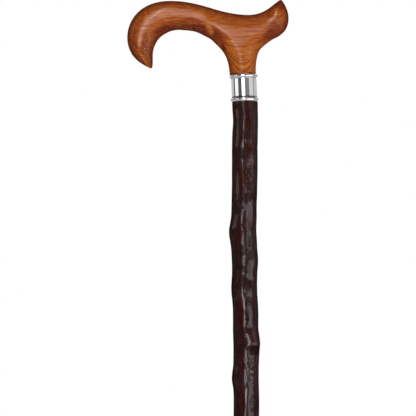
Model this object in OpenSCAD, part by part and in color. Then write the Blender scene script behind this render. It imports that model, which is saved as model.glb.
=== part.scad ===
// Blackthorn walking cane: a carved derby handle, a bright metal collar,
// a knotty bark-on stick and a pull-off rubber tip.
// Origin at the centre of the tip's sole, +Z up the stick, the hook towards -X.

/* [Stick] */
// Length of the stick from its lower end to the shoulder under the collar
stick_length = 822.5; // [600:0.5:900]
// Diameter of the stick under the collar, between its knots
stick_top_d = 19.8; // [18.5:0.1:23]
// Diameter of the stick above the rubber tip, between its knots
stick_low_d = 19.4; // [18.8:0.1:23]
// Lean of the collar and handle towards the hook, in degrees
collar_lean = 2.2; // [0:0.1:4]

/* [Handle] */
// Length of the handle from the bend of its hook to its tail
handle_length = 127; // [110:1:145]
// Thickness of the handle at the grip
handle_thickness = 25; // [22:0.5:30]
// How far the neck stands out from the collar's sleeve
neck_proud = 0.25; // [0:0.05:0.5]

/* [Collar] */
// Height of the collar
collar_height = 21.5; // [16:0.5:32]
// How far the sleeve stands out from the stick
sleeve_proud = 0.1; // [0:0.05:0.5]
// Wall of the sleeve
sleeve_wall = 0.8; // [0.5:0.1:1.2]
// Radius of the rounded face of each ring
ring_round = 1.8; // [1.2:0.1:3]
// How far each ring stands out from the sleeve
ring_proud = 1.1; // [0.6:0.1:1.2]

/* [Joining stud] */
// Diameter of the stud over its thread
stud_d = 8; // [6:0.5:10]
// Length of the stud
stud_length = 84; // [60:1:100]
// Pitch of the stud's thread
stud_pitch = 1.25; // [1:0.05:2]
// Depth of the stud's thread
thread_depth = 0.65; // [0.4:0.05:0.9]

/* [Rubber tip] */
// Height of the rubber tip
tip_height = 44; // [36:0.5:55]
// Diameter of the tip's foot
foot_d = 34; // [30:0.5:44]
// Diameter of the tip's cup
cup_d = 25; // [24:0.5:28]
// Diameter of the round seat turned on the stick for the tip
seat_d = 18.4; // [16:0.1:18.6]
// Rubber under the steel disc
sole_thickness = 9; // [7:0.5:12]
// Thickness of the steel disc inside the tip
disc_thickness = 2; // [1:0.1:3]

/* [Fits] */
// Gap of a glued or pressed joint, on the radius
joint_gap = 0.05; // [0.02:0.01:0.1]
// Gap between the tip's cup and the seat, on the radius
tip_gap = 0.05; // [0.02:0.01:0.1]
// Free depth past the stud's ends in its two holes
stud_end_gap = 1; // [0.5:0.1:2]

/* [Hidden] */
overrun = 1;
$fn = 64;

// Heights along the cane
stick_end_z = sole_thickness + disc_thickness;
seat_reveal = 2;
seat_top_z = tip_height + seat_reveal;
joint_z = stick_end_z + stick_length;
bark_height = joint_z - seat_top_z;

// Collar: heights are measured from the shoulder under it
sleeve_d = stick_top_d + 2 * sleeve_proud;
bore_d = sleeve_d - 2 * sleeve_wall;
spigot_d = bore_d - 2 * joint_gap;
tenon_share = 0.55;
tenon_length = tenon_share * collar_height;
ring_sink = ring_round - ring_proud + joint_gap;
ring_half = sqrt(ring_round * ring_round - ring_sink * ring_sink);
neck_d = sleeve_d + 2 * neck_proud;

// Stud: its top is a share of the handle's length above the neck's foot
stud_hole_d = stud_d + 2 * joint_gap;
stud_reach_share = 0.26;
stud_top = collar_height + stud_reach_share * handle_length;
stud_low = stud_top - stud_length;
thread_turns = floor(stud_length / stud_pitch);
stud_chamfer = 2 * thread_depth;

// Rubber tip
cup_hole_d = seat_d + 2 * tip_gap;
disc_gap = 0.2;
disc_d = cup_hole_d - 2 * disc_gap;
foot_height = 7;
foot_edge = 1.5;
flare_r = 9;
flare_sink = 1;
lip_r = 1.6;
rib_r = 1.1;
rib_share = 0.62;
tread_pitch = 3.6;
tread_width = 1.4;
tread_depth = 1.2;
tread_count = floor((foot_d / 2 - foot_edge) / tread_pitch) - 1;

// Stick: rings of bark from the seat to the collar
bark_sides = 18;
bark_step = 5.6;
bark_rings = ceil(bark_height / bark_step);
lean_start_share = 0.94;
lobe_share = 0.006;
lobe_twist = 400;
knot_focus = 7;

// Crooks of the stick: height share, then sideways and backward shares of its diameter
crook_shares = [
    [0, 0, 0], [0.05, 0, 0], [0.10, -0.02, 0.02], [0.17, -0.06, 0.04],
    [0.23, -0.02, 0.06], [0.29, 0.05, 0.02], [0.35, 0.08, -0.03], [0.42, 0.02, -0.06],
    [0.49, -0.05, -0.03], [0.55, -0.08, 0.03], [0.60, -0.03, 0.05], [0.65, 0.03, 0.03],
    [0.692, 0.05, 0], [0.728, 0.035, 0], [0.754, 0.037, -0.01], [0.774, 0.015, -0.02],
    [0.794, 0.008, -0.02], [0.814, -0.025, -0.01], [0.830, -0.028, 0], [0.854, -0.04, 0.01],
    [0.872, -0.068, 0.02], [0.893, -0.036, 0.02], [0.918, -0.02, 0.01], [0.952, -0.013, 0],
    [0.981, 0.012, 0], [1, -0.01, 0]];

// Knots: height share, direction in degrees, then bulge and length shares of the diameter
knot_shares = [
    [0.045, 30, 0.03, 0.30], [0.085, 265, 0.05, 0.34], [0.127, 130, 0.05, 0.38],
    [0.172, 340, 0.06, 0.36], [0.214, 215, 0.06, 0.40], [0.258, 60, 0.06, 0.36],
    [0.301, 285, 0.07, 0.38], [0.342, 165, 0.06, 0.36], [0.386, 20, 0.07, 0.40],
    [0.436, 250, 0.07, 0.36], [0.483, 120, 0.06, 0.40], [0.524, 310, 0.07, 0.38],
    [0.571, 200, 0.06, 0.36], [0.612, 40, 0.07, 0.40], [0.652, 255, 0.05, 0.34],
    [0.690, 95, 0.05, 0.36], [0.725, 180, 0.055, 0.32], [0.760, 335, 0.08, 0.34],
    [0.783, 90, 0.05, 0.36], [0.814, 185, 0.035, 0.36], [0.841, 355, 0.03, 0.44],
    [0.869, 190, 0.04, 0.46], [0.911, 300, 0.03, 0.40], [0.901, 250, 0.03, 0.26],
    [0.930, 70, 0.05, 0.36], [0.948, 262, 0.02, 0.36], [0.968, 150, 0.02, 0.36]];

// Handle: ribs from the hook's point over the grip to the tail. Each row has the
// rib's outer end (x, z), its inner end (x, z) as shares of the handle's length,
// both from the centre of the neck's foot, and its share of the handle's thickness
rib_rows_shares = [
    [-0.571, 0.060, -0.562, 0.064, 0.06],
    [-0.602, 0.077, -0.558, 0.102, 0.34],
    [-0.642, 0.104, -0.557, 0.146, 0.56],
    [-0.679, 0.143, -0.550, 0.184, 0.72],
    [-0.704, 0.197, -0.532, 0.222, 0.83],
    [-0.711, 0.260, -0.509, 0.251, 0.90],
    [-0.695, 0.333, -0.484, 0.268, 0.95],
    [-0.650, 0.402, -0.458, 0.282, 0.98],
    [-0.579, 0.451, -0.430, 0.291, 1.00],
    [-0.492, 0.473, -0.397, 0.295, 1.00],
    [-0.402, 0.472, -0.361, 0.292, 1.00],
    [-0.314, 0.458, -0.319, 0.286, 1.00],
    [-0.232, 0.435, -0.272, 0.274, 1.00],
    [-0.154, 0.409, -0.201, 0.240, 1.00],
    [-0.079, 0.388, -0.118, 0.217, 1.00],
    [0.000, 0.373, -0.031, 0.202, 0.99],
    [0.067, 0.369, 0.063, 0.194, 0.97],
    [0.129, 0.383, 0.150, 0.195, 0.94],
    [0.177, 0.409, 0.224, 0.229, 0.88],
    [0.213, 0.435, 0.269, 0.266, 0.79],
    [0.236, 0.451, 0.290, 0.315, 0.65],
    [0.246, 0.457, 0.291, 0.370, 0.46],
    [0.249, 0.458, 0.276, 0.417, 0.24],
    [0.250, 0.4585, 0.261, 0.444, 0.08]];
rib_sides = 24;
rib_steps = 2;
rib_squareness = 2.3;

// Neck: height, left flare and right flare beyond the neck's radius as shares of the
// handle's length, then the share of the way from the neck's to the grip's thickness
neck_rows_shares = [
    [0.208, 0.090, 0.098, 0.29],
    [0.165, 0.056, 0.036, 0.20],
    [0.137, 0.039, 0.017, 0.11],
    [0.110, 0.024, 0.008, 0.07],
    [0.067, 0.012, -0.002, 0.02],
    [0.000, 0.005, -0.005, 0.00]];
neck_steps = 3;
// Patch of the body's underside that the neck grows from, counted in the rib rows
// and, either side of the underside's middle line, in the rib's sides
neck_first_row = 12;
neck_last_row = 18;
neck_half_sides = 4;

// Smooth curve through four values, at share u between the middle two
function curve(a, b, c, d, u) =
    (2 * b + (c - a) * u + (2 * a - 5 * b + 4 * c - d) * u * u + (3 * b - a - 3 * c + d) * u * u * u) / 2;

// Row at index i + u of a table, on a smooth curve through its rows
function row_at(rows, i, u) =
    let (last = len(rows) - 1)
    curve(rows[max(i - 1, 0)], rows[i], rows[min(i + 1, last)], rows[min(i + 2, last)], u);

// All rows of a table with the given number of steps between each two
function fill_rows(rows, steps) = [
    for (i = [0 : len(rows) - 2]) for (s = [0 : steps - 1]) row_at(rows, i, s / steps),
    rows[len(rows) - 1]];

// Value in a column of a table at key t, eased from row to row
function eased(rows, t, column) =
    let (
        i = max([0, for (k = [0 : len(rows) - 2]) if (rows[k][0] <= t) k]),
        u = (t - rows[i][0]) / (rows[i + 1][0] - rows[i][0]),
        s = u * u * (3 - 2 * u))
    rows[i][column] + (rows[i + 1][column] - rows[i][column]) * s;

// Power that keeps the sign of its base
function signed_pow(v, p) = sign(v) * pow(abs(v), p);

// Total of a list of numbers
function total(values) = [for (v = values) 1] * values;

// Two triangles between sides j and j + 1 of two rings of point numbers
function band_side(low, high, j) =
    let (k = (j + 1) % len(low))
    [[low[j], high[j], high[k]], [low[j], high[k], low[k]]];

function band(low, high) = [for (j = [0 : len(low) - 1]) each band_side(low, high, j)];
function reversed(list) = [for (i = [len(list) - 1 : -1 : 0]) list[i]];
function ring_numbers(ring, sides) = [for (j = [0 : sides - 1]) ring * sides + j];

// Children placed on the collar's axis, with the shoulder under the collar at zero
module on_collar() {
    translate([crook_shares[len(crook_shares) - 1][1] * stick_top_d, 0, joint_z])
        rotate([0, -collar_lean, 0])
            children();
}

// Point of the stick's bark at height share t and direction a
function bark_radius(t, a) =
    let (
        d = stick_low_d + (stick_top_d - stick_low_d) * t,
        rise = t * bark_height,
        bulge = total([for (k = knot_shares)
            k[2] * exp(-pow((rise - k[0] * bark_height) / (k[3] * d), 2))
                * pow((1 + cos(a - k[1])) / 2, knot_focus)]))
    d * (0.5 + lobe_share * cos(3 * a + lobe_twist * t) + bulge);

function bark_point(t, a) =
    let (
        r = bark_radius(t, a),
        lean = collar_lean * pow(max(0, (t - lean_start_share) / (1 - lean_start_share)), 2),
        x = r * cos(a))
    [eased(crook_shares, t, 1) * stick_top_d + x * cos(lean),
        eased(crook_shares, t, 2) * stick_top_d + r * sin(a),
        seat_top_z + t * bark_height + x * sin(lean)];

// Stick: bark-on blackthorn with a turned seat below and a tenon for the collar above
module stick() {
    points = [for (i = [0 : bark_rings]) for (j = [0 : bark_sides - 1])
        bark_point(i / bark_rings, 360 * j / bark_sides)];
    faces = [
        ring_numbers(0, bark_sides),
        for (i = [0 : bark_rings - 1])
            each band(ring_numbers(i, bark_sides), ring_numbers(i + 1, bark_sides)),
        reversed(ring_numbers(bark_rings, bark_sides))];
    hole_low = stud_low - stud_end_gap;
    color([0.18, 0.09, 0.08])
        difference() {
            union() {
                polyhedron(points, faces, convexity = 4);
                translate([0, 0, stick_end_z])
                    cylinder(h = seat_top_z - stick_end_z + overrun, d = seat_d);
                on_collar()
                    translate([0, 0, -overrun])
                        cylinder(h = tenon_length + overrun, d = spigot_d);
            }
            on_collar()
                translate([0, 0, hole_low])
                    cylinder(h = tenon_length - hole_low + overrun, d = stud_hole_d);
        }
}

// Ring of points round a rib of the handle
function rib_ring(row) =
    let (
        outer = [row[0], row[1]] * handle_length,
        inner = [row[2], row[3]] * handle_length,
        middle = (outer + inner) / 2,
        rise = (outer - inner) / 2,
        power = 2 / rib_squareness)
    [for (j = [0 : rib_sides - 1])
        let (
            a = 360 * j / rib_sides,
            up = signed_pow(cos(a), power),
            out = signed_pow(sin(a), power) * row[4] * handle_thickness / 2)
        [middle[0] + rise[0] * up, -out, middle[1] + rise[1] * up]];

// Ring of points round the neck
function neck_ring(row, sides) =
    let (
        r = neck_d / 2,
        left = -r - row[1] * handle_length,
        right = r + row[2] * handle_length,
        front = r + row[3] * (handle_thickness / 2 - r))
    [for (m = [0 : sides - 1])
        let (a = 180 - 360 * (m - neck_half_sides) / sides)
        [(left + right) / 2 + (right - left) / 2 * cos(a), front * sin(a), row[0] * handle_length]];

// Handle: one carved piece of hardwood, with a spigot for the collar and a stud hole
module handle() {
    ribs = fill_rows(rib_rows_shares, rib_steps);
    rib_rings = [for (row = ribs) rib_ring(row)];
    first = neck_first_row * rib_steps;
    last = neck_last_row * rib_steps;
    front = rib_sides / 2 - neck_half_sides;
    back = rib_sides / 2 + neck_half_sides;

    // Edge of the patch, as rib and side, with the step that leads away from it
    edge = [
        [first, front, -1, -1],
        for (j = [front + 1 : back - 1]) [first, j, -1, 0],
        [first, back, -1, 1],
        for (i = [first + 1 : last - 1]) [i, back, 0, 1],
        [last, back, 1, 1],
        for (j = [back - 1 : -1 : front + 1]) [last, j, 1, 0],
        [last, front, 1, -1],
        for (i = [last - 1 : -1 : first + 1]) [i, front, 0, -1]];
    sides = len(edge);
    edge_ring = [for (e = edge) rib_rings[e[0]][e[1]]];
    beyond_ring = [for (e = edge) rib_rings[e[0] + e[2] * rib_steps][e[1] + e[3]]];
    neck_chain = [beyond_ring, edge_ring, for (row = neck_rows_shares) neck_ring(row, sides)];
    neck_rings = [
        for (k = [1 : len(neck_chain) - 2]) for (s = [1 : neck_steps])
            row_at(neck_chain, k, s / neck_steps)];

    body_count = len(ribs) * rib_sides;
    edge_numbers = [for (e = edge) e[0] * rib_sides + e[1]];
    neck_numbers = [edge_numbers,
        for (k = [0 : len(neck_rings) - 1])
            [for (m = [0 : sides - 1]) body_count + k * sides + m]];
    points = [for (ring = rib_rings) each ring, for (ring = neck_rings) each ring];
    faces = [
        ring_numbers(0, rib_sides),
        for (i = [0 : len(ribs) - 2]) for (j = [0 : rib_sides - 1])
            if (i < first || i >= last || j < front || j >= back)
                each band_side(ring_numbers(i, rib_sides), ring_numbers(i + 1, rib_sides), j),
        reversed(ring_numbers(len(ribs) - 1, rib_sides)),
        for (k = [0 : len(neck_numbers) - 2]) each band(neck_numbers[k], neck_numbers[k + 1]),
        reversed(neck_numbers[len(neck_numbers) - 1])];

    hole_low = tenon_length - overrun;
    color([0.62, 0.32, 0.16])
        on_collar()
            difference() {
                union() {
                    translate([0, 0, collar_height])
                        polyhedron(points, faces, convexity = 6);
                    translate([0, 0, tenon_length])
                        cylinder(h = collar_height - tenon_length + overrun, d = spigot_d);
                }
                translate([0, 0, hole_low])
                    cylinder(h = stud_top - hole_low + stud_end_gap, d = stud_hole_d);
            }
}

// Sleeve of the collar, over the spigot and the tenon
module collar_sleeve() {
    color([0.82, 0.82, 0.84])
        on_collar()
            difference() {
                cylinder(h = collar_height, d = sleeve_d);
                translate([0, 0, -overrun])
                    cylinder(h = collar_height + 2 * overrun, d = bore_d);
            }
}

// Half-round ring round an end of the sleeve, centred at height z
module collar_ring(z) {
    inner = sleeve_d / 2 + joint_gap;
    color([0.82, 0.82, 0.84])
        on_collar()
            translate([0, 0, z])
                rotate_extrude()
                    intersection() {
                        translate([sleeve_d / 2 + ring_proud - ring_round, 0])
                            circle(r = ring_round);
                        translate([inner, -ring_round])
                            square([ring_round, 2 * ring_round]);
                    }
}

module collar_top_ring() {
    collar_ring(collar_height - ring_half);
}

module collar_bottom_ring() {
    collar_ring(ring_half);
}

// Threaded steel stud, glued into the handle and the stick
module joining_stud() {
    crest = stud_d / 2;
    root = crest - thread_depth;
    start = (stud_length - thread_turns * stud_pitch) / 2;
    thread = [for (i = [0 : thread_turns - 1]) each [
        [crest, start + i * stud_pitch],
        [root, start + (i + 0.5) * stud_pitch]]];
    color([0.55, 0.56, 0.58])
        on_collar()
            translate([0, 0, stud_low])
                intersection() {
                    rotate_extrude()
                        polygon([[0, 0], [crest, 0], each thread, [crest, stud_length], [0, stud_length]]);
                    rotate_extrude()
                        polygon([[0, 0], [crest - stud_chamfer, 0], [crest, stud_chamfer],
                            [crest, stud_length - stud_chamfer], [crest - stud_chamfer, stud_length],
                            [0, stud_length]]);
                }
}

// Steel disc under the stick's end, inside the rubber tip
module tip_disc() {
    color([0.6, 0.6, 0.62])
        translate([0, 0, sole_thickness])
            cylinder(h = disc_thickness, d = disc_d);
}

// Outline of half the rubber tip
module tip_outline() {
    cup_r = cup_d / 2;
    foot_r = foot_d / 2;
    edge_x = foot_r - foot_edge;
    flare_x = cup_r - flare_sink + flare_r;
    flare_z = foot_height + sqrt(flare_r * flare_r - (flare_x - edge_x) * (flare_x - edge_x));
    difference() {
        union() {
            square([cup_r, tip_height - lip_r]);
            translate([0, foot_edge])
                square([foot_r, foot_height - foot_edge]);
            square([edge_x, foot_height]);
            translate([edge_x, foot_edge])
                circle(r = foot_edge);
            difference() {
                square([edge_x, flare_z]);
                translate([flare_x, flare_z])
                    circle(r = flare_r);
            }
            translate([cup_r - lip_r / 2, tip_height - lip_r])
                circle(r = lip_r);
            translate([cup_r - rib_r / 2, rib_share * tip_height])
                circle(r = rib_r);
        }
        translate([0, sole_thickness])
            square([cup_hole_d / 2, tip_height]);
        for (i = [1 : tread_count])
            translate([i * tread_pitch, 0])
                square([tread_width, tread_depth]);
    }
}

// Moulded rubber tip that pulls off the stick's seat
module rubber_tip() {
    color([0.06, 0.06, 0.06])
        rotate_extrude()
            tip_outline();
}

handle();
collar_sleeve();
collar_top_ring();
collar_bottom_ring();
joining_stud();
stick();
tip_disc();
rubber_tip();
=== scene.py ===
import math

import bmesh
import bpy
from mathutils import Matrix, Vector, noise


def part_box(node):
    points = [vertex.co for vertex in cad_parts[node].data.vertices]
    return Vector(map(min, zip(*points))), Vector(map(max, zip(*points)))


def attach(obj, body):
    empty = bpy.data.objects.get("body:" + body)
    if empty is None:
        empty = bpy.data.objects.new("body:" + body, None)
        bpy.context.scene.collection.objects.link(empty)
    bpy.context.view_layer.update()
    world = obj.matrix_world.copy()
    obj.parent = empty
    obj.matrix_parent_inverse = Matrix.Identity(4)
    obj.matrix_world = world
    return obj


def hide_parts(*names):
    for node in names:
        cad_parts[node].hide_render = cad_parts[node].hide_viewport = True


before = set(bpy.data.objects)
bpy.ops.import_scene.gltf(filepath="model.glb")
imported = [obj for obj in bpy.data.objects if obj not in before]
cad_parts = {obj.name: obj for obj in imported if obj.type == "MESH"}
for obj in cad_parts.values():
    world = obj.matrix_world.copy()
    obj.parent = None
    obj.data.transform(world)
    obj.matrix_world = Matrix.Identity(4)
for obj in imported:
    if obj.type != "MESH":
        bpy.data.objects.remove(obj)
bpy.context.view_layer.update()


# Stick.
# A blackthorn branch with its bark on, its side shoots pruned to knots, dried and varnished.
# Its lower end is turned to a round seat for the rubber tip, its upper end to a tenon for the collar.
STICK_SIDES = 96
STICK_RING_GAP = 0.0009
BARK_START = 0.046
BARK_END_GAP = 0.0008
BARK_END_RADIUS = 0.0099
TENON_RADIUS = 0.00915
TENON_LENGTH = 0.0118
STUD_HOLE_RADIUS = 0.00405
STUD_HOLE_DEPTH = 0.042
SEAT_RADIUS = 0.0092
SEAT_CHAMFER = 0.0007
COLLAR_LEAN = math.radians(2.2)
LOWER_RING_LEAN = math.radians(0.9)
COLLAR_HEIGHT = 0.0215
WRAP_REACH = 0.008
SMOOTH_ANGLE = math.radians(40)
WOOD_SMOOTH_ANGLE = math.radians(60)

# Knots: height, direction in degrees round the stick, how far the knot stands out, its half width,
# and how sharply it is cut off below, which is also how much bare wood, and painted shadow under its ledge,
# shows there
KNOTS = [
    (0.0815, 30, 0.0006, 0.0040, 0.1), (0.1130, 265, 0.0008, 0.0044, 0.2),
    (0.1461, 130, 0.0009, 0.0046, 0.6), (0.1815, 340, 0.0010, 0.0046, 0.4),
    (0.2146, 215, 0.0009, 0.0048, 0.1), (0.2493, 60, 0.0010, 0.0046, 0.3),
    (0.2832, 285, 0.0013, 0.0048, 0.7), (0.3155, 165, 0.0008, 0.0046, 0.1),
    (0.3502, 20, 0.0013, 0.0050, 0.8), (0.3896, 250, 0.0010, 0.0048, 0.3),
    (0.4266, 120, 0.0010, 0.0050, 0.4), (0.4589, 310, 0.0014, 0.0048, 0.9),
    (0.4959, 200, 0.0009, 0.0046, 0.1), (0.5283, 40, 0.0012, 0.0050, 0.8),
    (0.5598, 255, 0.0007, 0.0044, 0.2), (0.5897, 95, 0.0010, 0.0046, 0.6),
    (0.6180, 207, 0.0009, 0.0046, 0.0), (0.6435, 309, 0.0017, 0.0050, 1.0),
    (0.6555, 283, -0.0005, 0.0022, 0.0), (0.6630, 90, 0.0010, 0.0048, 0.5),
    (0.6850, 258, 0.0004, 0.0020, 0.0), (0.6890, 222, 0.0009, 0.0048, 0.0),
    (0.6925, 256, 0.0004, 0.0018, 0.0), (0.6940, 296, -0.0004, 0.0028, 0.0),
    (0.7087, 345, 0.0006, 0.0050, 0.1), (0.7308, 195, 0.0006, 0.0050, 0.0),
    (0.7510, 263, 0.0005, 0.0018, 0.2), (0.7560, 270, 0.0004, 0.0016, 0.1),
    (0.7620, 297, 0.0009, 0.0046, 0.3), (0.7715, 295, 0.0005, 0.0036, 0.1),
    (0.7788, 70, 0.0010, 0.0046, 0.5), (0.7960, 238, 0.0004, 0.0044, 0.0),
    (0.8040, 264, 0.0005, 0.0024, 0.1), (0.8088, 150, 0.0006, 0.0042, 0.1)]
KNOT_STRETCH = 1.6
KNOT_REACH = 2.5

# Patches of the bark, each a height, a direction, a half length and a half width.
# First the matt grey smudges
SMUDGES = [
    (0.8205, 255, 0.0150, 0.0016), (0.7170, 264, 0.0045, 0.0022), (0.7010, 266, 0.0030, 0.0016),
    (0.6680, 273, 0.0120, 0.0012), (0.6200, 275, 0.0150, 0.0012), (0.6920, 262, 0.0055, 0.0028),
    (0.7900, 264, 0.0060, 0.0026), (0.6540, 266, 0.0030, 0.0030), (0.7355, 262, 0.0012, 0.0020),
    (0.7030, 278, 0.0065, 0.0016), (0.7130, 266, 0.0014, 0.0030), (0.6980, 241, 0.0070, 0.0035),
    (0.7933, 238, 0.0050, 0.0045), (0.7580, 288, 0.0048, 0.0060), (0.7588, 262, 0.0036, 0.0022),
    (0.6880, 222, 0.0065, 0.0045), (0.6885, 288, 0.0055, 0.0040), (0.6180, 205, 0.0045, 0.0040),
    (0.5960, 312, 0.0080, 0.0045), (0.5560, 255, 0.0050, 0.0045), (0.4540, 310, 0.0040, 0.0050),
    (0.3860, 250, 0.0050, 0.0045), (0.2780, 285, 0.0040, 0.0050), (0.2100, 215, 0.0050, 0.0045),
    (0.1090, 265, 0.0050, 0.0045), (0.7745, 70, 0.0050, 0.0045), (0.5850, 95, 0.0050, 0.0045),
    (0.4220, 120, 0.0050, 0.0045), (0.3110, 165, 0.0050, 0.0045), (0.3450, 20, 0.0050, 0.0050),
    (0.5230, 40, 0.0045, 0.0050)]

# Places where the dark bark is rubbed to red
RUBBED = [
    (0.823, 281, 0.014, 0.0030), (0.774, 268, 0.015, 0.0042), (0.728, 252, 0.018, 0.0014),
    (0.791, 286, 0.009, 0.0032), (0.664, 250, 0.012, 0.0030), (0.640, 258, 0.024, 0.0014),
    (0.596, 255, 0.014, 0.0018), (0.550, 320, 0.022, 0.0040), (0.470, 230, 0.025, 0.0040),
    (0.400, 290, 0.022, 0.0040), (0.330, 240, 0.024, 0.0040), (0.250, 300, 0.022, 0.0040),
    (0.170, 260, 0.022, 0.0040), (0.700, 90, 0.022, 0.0040), (0.580, 130, 0.022, 0.0040),
    (0.450, 60, 0.024, 0.0040), (0.300, 110, 0.024, 0.0040)]

# Places where the bark is wrinkled across
WRINKLED = [
    (0.790, 297, 0.004, 0.0030), (0.622, 298, 0.013, 0.0045), (0.520, 262, 0.012, 0.0050),
    (0.365, 300, 0.012, 0.0050), (0.230, 250, 0.012, 0.0050), (0.480, 80, 0.012, 0.0050),
    (0.690, 130, 0.012, 0.0050), (0.330, 30, 0.012, 0.0050)]

# Places where the bark's grey skin flakes
FLECKED = [
    (0.7780, 292, 0.0130, 0.0045), (0.6200, 298, 0.0110, 0.0034), (0.5980, 300, 0.0050, 0.0024),
    (0.5000, 275, 0.0140, 0.0050), (0.3700, 240, 0.0140, 0.0050), (0.2400, 290, 0.0140, 0.0050),
    (0.7400, 110, 0.0140, 0.0050), (0.5500, 70, 0.0140, 0.0050), (0.3900, 150, 0.0140, 0.0050)]
PATCHES = {"smudged": SMUDGES, "rubbed": RUBBED, "wrinkled": WRINKLED, "flecked": FLECKED}
RAGGED = 0.0030
RAGGED_ROUND = 6
RAGGED_ALONG = (260, 200)

# Lumps, furrows and dents of the bark: depth, and how many a metre holds across and along the stick
UNEVEN = [(0.00045, 90, 35), (0.00012, 420, 18), (0.00015, 260, 110)]
RELIEF_RANGE = 0.0045
BARK_THICKNESS = 0.00022


def start_piece(name):
    """The primitive that was just added becomes the piece of this name, opened for editing."""
    piece = bpy.context.object
    piece.name = name
    piece.data.name = name
    bpy.ops.object.mode_set(mode="EDIT")
    return piece


def select(piece, kind, wanted):
    """Only the corners, edges or faces for which wanted is true are left selected."""
    bpy.ops.mesh.select_mode(type=kind)
    bpy.ops.mesh.select_all(action="DESELECT")
    mesh = bmesh.from_edit_mesh(piece.data)
    for element in {"VERT": mesh.verts, "EDGE": mesh.edges, "FACE": mesh.faces}[kind]:
        element.select_set(wanted(element))
    bmesh.update_edit_mesh(piece.data)


def grow_ring(scale, shift):
    """The selected ring is extruded, scaled about the Z axis and moved."""
    bpy.ops.mesh.extrude_region()
    bpy.ops.transform.resize(value=(scale, scale, 1), center_override=(0, 0, 0))
    bpy.ops.transform.translate(value=shift)


def end_piece(piece, angle=SMOOTH_ANGLE):
    """The piece is closed for editing, its normals outward, its faces shaded smooth up to the angle."""
    bpy.ops.mesh.select_all(action="SELECT")
    bpy.ops.mesh.normals_make_consistent(inside=False)
    bpy.ops.object.mode_set(mode="OBJECT")
    bpy.ops.object.shade_smooth_by_angle(angle=angle)


def add_modifier(piece, kind, **settings):
    """A modifier is put on the piece with these settings and applied."""
    modifier = piece.modifiers.new(kind.title(), kind)
    for setting, value in settings.items():
        setattr(modifier, setting, value)
    bpy.ops.object.modifier_apply(modifier=modifier.name)


def paint(piece, name, values):
    """A number for each corner of the piece is kept with its mesh, for its material to read."""
    layer = piece.data.attributes.new(name, "FLOAT", "POINT")
    layer.data.foreach_set("value", values)


sleeve_low, sleeve_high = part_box("collar_sleeve")
collar_axis = Vector((-math.sin(COLLAR_LEAN), 0, math.cos(COLLAR_LEAN)))
shoulder = (sleeve_low + sleeve_high) / 2 - collar_axis * COLLAR_HEIGHT / 2
stick_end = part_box("stick")[0].z
bark_end = shoulder.z - BARK_END_GAP
bark_length = bark_end - BARK_START

bpy.ops.object.select_all(action="DESELECT")
bpy.ops.mesh.primitive_cylinder_add(
    vertices=STICK_SIDES, radius=SEAT_RADIUS, depth=bark_length, end_fill_type="NOTHING",
    location=(0, 0, BARK_START + bark_length / 2))
bpy.ops.object.transform_apply(location=True)
stick = start_piece("blackthorn_stick")
cuts = int(math.sqrt(bark_length / STICK_RING_GAP))
ring_count = (cuts + 1) ** 2
for _ in range(2):
    select(stick, "EDGE", lambda edge: abs(edge.verts[0].co.z - edge.verts[1].co.z) > STICK_RING_GAP)
    bpy.ops.mesh.subdivide(number_cuts=cuts)
bpy.ops.object.mode_set(mode="OBJECT")
add_modifier(
    stick, "SHRINKWRAP", target=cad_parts["stick"], wrap_method="PROJECT",
    use_positive_direction=True, use_negative_direction=True, project_limit=WRAP_REACH)
add_modifier(stick, "SMOOTH", factor=0.5, iterations=14, use_z=False)


def ease(start, end, value):
    """A smooth step from 0 at the start to 1 at the end."""
    share = min(1, max(0, (value - start) / (end - start)))
    return share * share * (3 - 2 * share)


def round_gap(direction, other):
    """The angle, in radians from -pi to pi, to a direction in radians from another in degrees."""
    return math.remainder(direction - math.radians(other), math.tau)


def knot_relief(height, direction, radius):
    """How far the knots raise the bark at a place, and how far the place lies on a bare cut face or in the
    painted shadow under a knot's ledge.
    """
    rise = 0.0
    cut_and_shadow = 0.0
    for knot_height, knot_direction, stand, half_width, cut in KNOTS:
        below = (knot_height - height) / (KNOT_STRETCH * half_width)
        across = round_gap(direction, knot_direction) * radius / half_width
        if abs(below) > KNOT_REACH or abs(across) > KNOT_REACH:
            continue
        # The knot is a rounded bump, or as far as it is cut, a ledge that drops off under its middle
        side = math.exp(-abs(across) ** 2.5)
        bump = math.exp(-below ** 2)
        ledge = bump if below < 0 else 1 - 1.25 * ease(0.15, 0.8, below) + 0.25 * ease(0.8, 2, below)
        rise += stand * side * (bump + cut * (ledge - bump))
        # The share reaches from the bare cut face down into the ledge's shadow, which is painted in the
        # same dark colour
        cut_and_shadow = max(cut_and_shadow, cut * side * ease(0.1, 0.25, below) * (1 - ease(1.0, 1.25, below)))
    return rise, cut_and_shadow


def patch_share(patches, height, direction, radius):
    """How far a place lies in one of the patches, whose edges are ragged, from 0 to 1."""
    share = 0.0
    height += RAGGED * noise.noise((direction * RAGGED_ROUND, height * RAGGED_ALONG[0], 3.3))
    ragged = noise.noise((direction * RAGGED_ROUND, height * RAGGED_ALONG[1], 8.7))
    direction += RAGGED / radius * ragged
    for patch_height, patch_direction, half_length, half_width in patches:
        up = (height - patch_height) / half_length
        if abs(up) < 2:
            across = round_gap(direction, patch_direction) * radius / half_width
            share = max(share, math.exp(-up ** 4 - across ** 2))
    return share


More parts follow.
